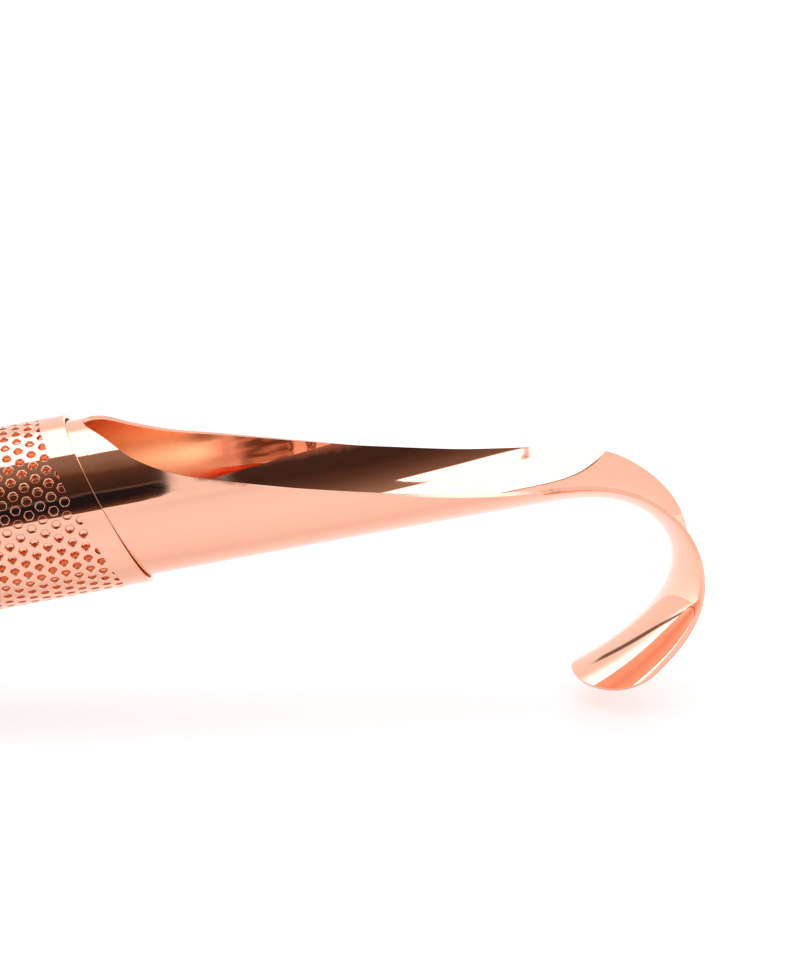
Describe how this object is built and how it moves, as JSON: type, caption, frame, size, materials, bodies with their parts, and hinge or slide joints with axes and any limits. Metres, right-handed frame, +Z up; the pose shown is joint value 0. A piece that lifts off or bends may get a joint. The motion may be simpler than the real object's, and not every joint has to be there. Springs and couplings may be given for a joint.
{
  "type": "tea infuser stick",
  "caption": "Copper-coloured stick tea infuser: a perforated sleeve turns on an inner scoop tube whose cut-away trough curls into a hook for a cup's rim.",
  "frame": {"origin": "on the table under the middle of the resting infuser's bounding box", "axes": "+X towards the hook, +Y across the tube, +Z up from the table; the tube's axis lies in the XZ plane and rises 9.97 degrees towards the hook"},
  "size_m": [0.1628, 0.022, 0.0365],
  "materials": {
    "polished_copper": "stainless steel, mirror polished and coated rose-gold copper",
    "sleeve_copper": "perforated stainless steel, polished and coated rose-gold copper",
    "rivet_copper": "stainless steel rivet, coated rose-gold copper",
    "washer_steel": "plain stainless steel"
  },
  "bodies": {
    "handle": {"handle_tube": "polished_copper", "chamber_bulkhead": "polished_copper", "scoop_end_disc": "polished_copper", "pivot_rivet": "rivet_copper", "rivet_washer": "washer_steel"},
    "sleeve": {"perforated_sleeve": "sleeve_copper", "sleeve_end_cap": "sleeve_copper"}
  },
  "joints": [
    {"name": "sleeve_turn", "type": "hinge", "parent": "handle", "child": "sleeve", "pos_m": [0.0087, 0, 0.02632], "axis": [0.9849, 0, 0.1731], "continuous": true}
  ]
}
